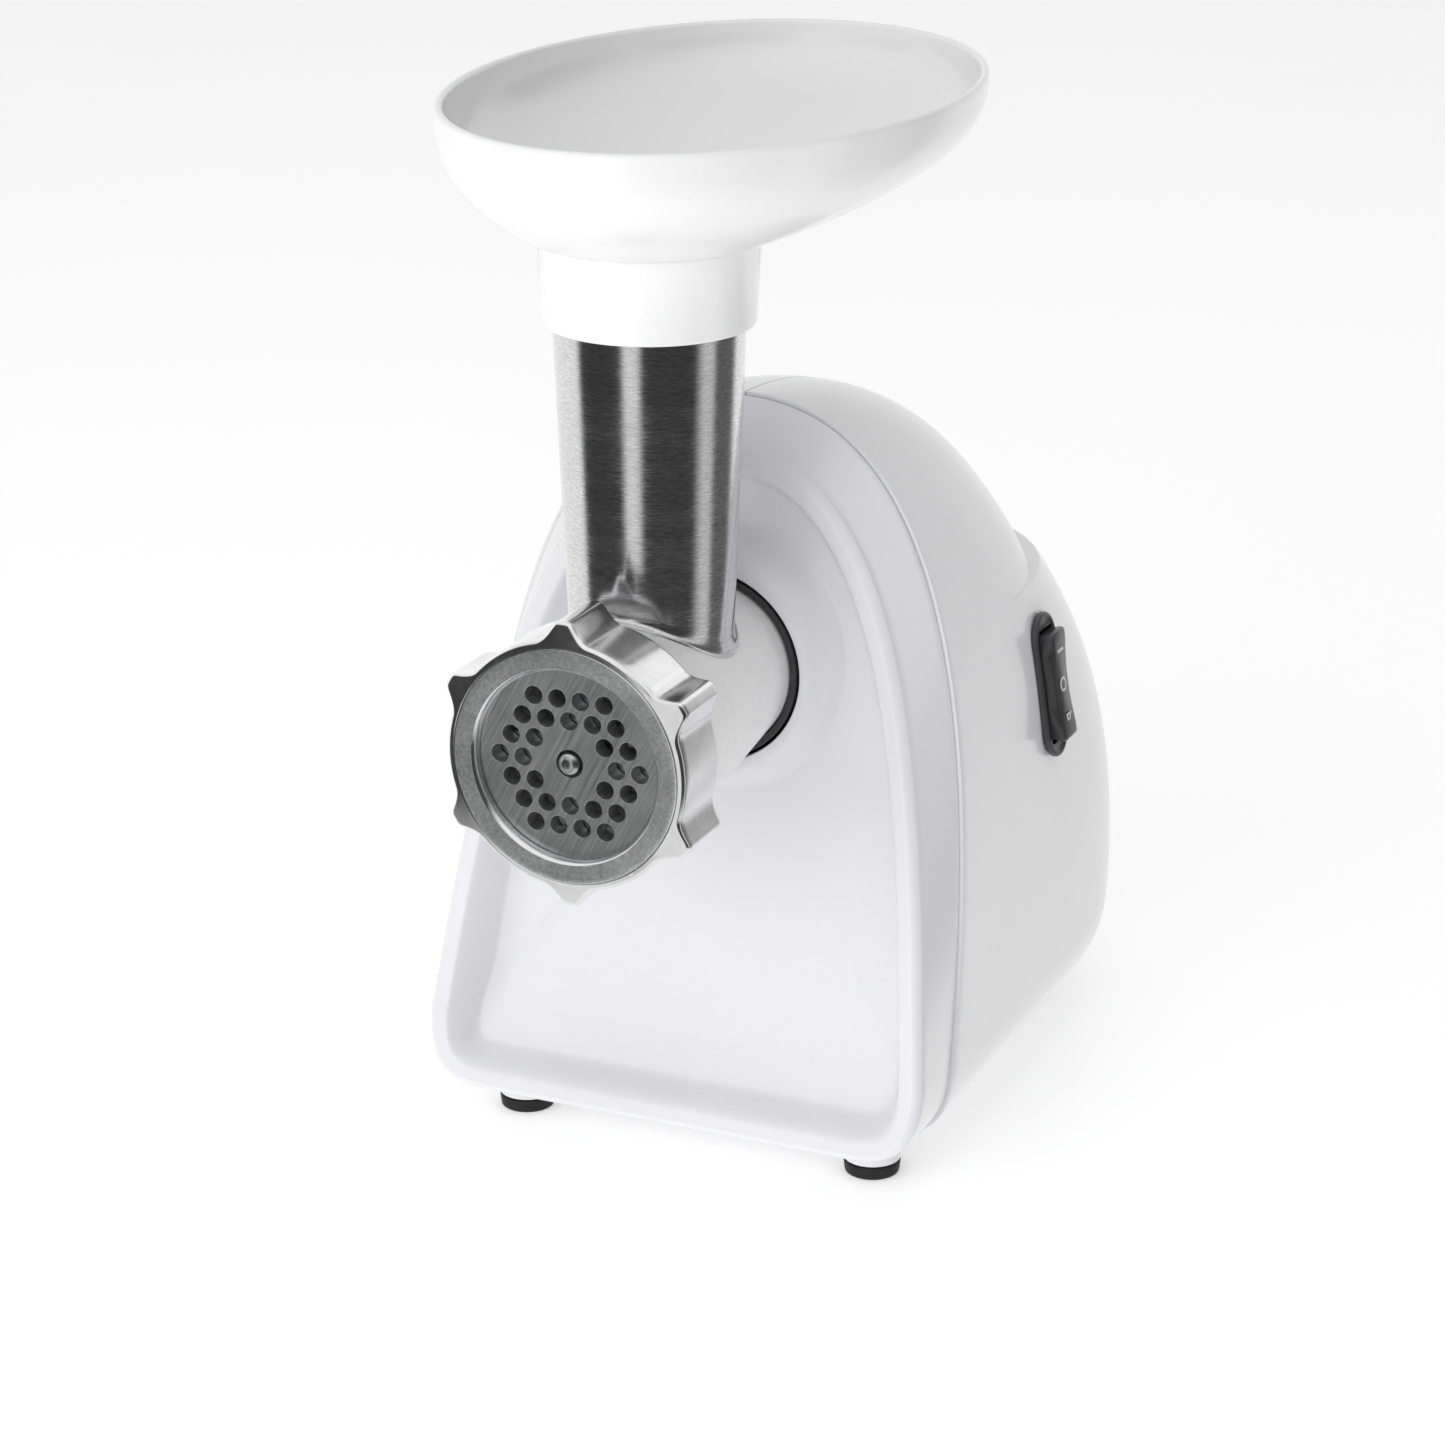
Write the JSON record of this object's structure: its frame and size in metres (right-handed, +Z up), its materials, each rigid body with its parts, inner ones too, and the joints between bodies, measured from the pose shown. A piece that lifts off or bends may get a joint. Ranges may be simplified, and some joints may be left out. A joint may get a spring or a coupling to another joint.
{
  "type": "electric meat grinder",
  "caption": "Countertop electric meat grinder: moulded motor housing, geared drive, lock-on grinding head with feed tube and tray, screw, knife, cutting plate and lobed ring nut.",
  "frame": {"origin": "centre of the bounding box in plan, on the surface that the feet stand on", "axes": "+Z up, -Y towards the cutting plate and ring nut, +X towards the side with the switch"},
  "size_m": [0.1432, 0.242, 0.2756],
  "materials": {
    "white": "glossy moulded white",
    "black": "satin black",
    "rubber": "matt black",
    "cast": "cast, polished on the tube and barrel",
    "steel": "brushed",
    "zinc": "zinc plated",
    "copper": "enamelled copper",
    "lamination": "stacked laminations",
    "nylon": "natural nylon",
    "carbon": "pressed carbon"
  },
  "bodies": {
    "motor_base": {"front_cover": "white", "rear_shell_right": "white", "rear_shell_left": "white", "base_plate": "white", "base_screw_1": "zinc", "base_screw_2": "zinc", "base_screw_3": "zinc", "base_screw_4": "zinc", "foot_pad_front_left": "rubber", "foot_pad_front_right": "rubber", "foot_pad_rear_left": "rubber", "foot_pad_rear_right": "rubber", "lock_socket": "black", "gearbox_plate": "cast", "gearbox_cover": "cast", "gearbox_screw_1": "zinc", "gearbox_screw_2": "zinc", "gearbox_screw_3": "zinc", "gearbox_screw_4": "zinc", "output_bearing_front": "zinc", "output_bearing_rear": "zinc", "idler_pin": "zinc", "stator_core": "lamination", "field_coil_upper": "copper", "field_coil_lower": "copper", "motor_end_bracket": "zinc", "motor_bearing_front": "zinc", "motor_bearing_rear": "zinc", "brush_holder_left": "black", "brush_holder_right": "black", "carbon_brush_left": "carbon", "carbon_brush_right": "carbon", "switch_body": "black", "cord_grommet": "rubber"},
    "rocker": {"switch_rocker": "black"},
    "drive_screw": {"feed_screw": "cast", "cross_knife": "steel", "output_shaft": "zinc", "output_gear": "nylon"},
    "idler": {"idler_gear": "nylon"},
    "rotor": {"rotor_shaft": "zinc", "armature": "lamination", "commutator": "copper", "cooling_fan": "black", "motor_pinion": "zinc"},
    "head": {"grinding_head": "cast", "plate_key": "zinc", "screw_bush": "nylon"},
    "plate": {"cutting_plate": "steel"},
    "nut": {"ring_nut": "cast"},
    "tray": {"food_tray": "white"}
  },
  "joints": [
    {"name": "switch_rock", "type": "hinge", "parent": "motor_base", "child": "rocker", "pos_m": [0.0631, 0.038, 0.107], "axis": [0, 1, 0], "range_deg": [-10, 10]},
    {"name": "screw_spin", "type": "hinge", "parent": "motor_base", "child": "drive_screw", "pos_m": [0, -0.02, 0.128], "axis": [0, 1, 0], "continuous": true},
    {"name": "idler_spin", "type": "hinge", "parent": "motor_base", "child": "idler", "pos_m": [-0.00906, 0, 0.09061], "axis": [0, 1, 0], "continuous": true},
    {"name": "rotor_spin", "type": "hinge", "parent": "motor_base", "child": "rotor", "pos_m": [0, 0.04, 0.066], "axis": [0, 1, 0], "continuous": true},
    {"name": "head_turn", "type": "hinge", "parent": "motor_base", "child": "head", "pos_m": [0, -0.03, 0.128], "axis": [0, 1, 0], "range_deg": [0, 40]},
    {"name": "plate_slide", "type": "slide", "parent": "head", "child": "plate", "axis": [0, -1, 0], "range_m": [0, 0.012]},
    {"name": "nut_turn", "type": "hinge", "parent": "plate", "child": "nut", "pos_m": [0, -0.112, 0.128], "axis": [0, -1, 0], "range_deg": [0, 1080]},
    {"name": "tray_lift", "type": "slide", "parent": "head", "child": "tray", "axis": [0, 0, 1], "range_m": [0, 0.045]}
  ],
  "couplings": [
    {"joint": "idler_spin", "follows": "screw_spin", "ratio": -5.3333},
    {"joint": "rotor_spin", "follows": "screw_spin", "ratio": 28.444},
    {"joint": "plate_slide", "follows": "nut_turn", "m_per_rad": 0.00063662}
  ]
}
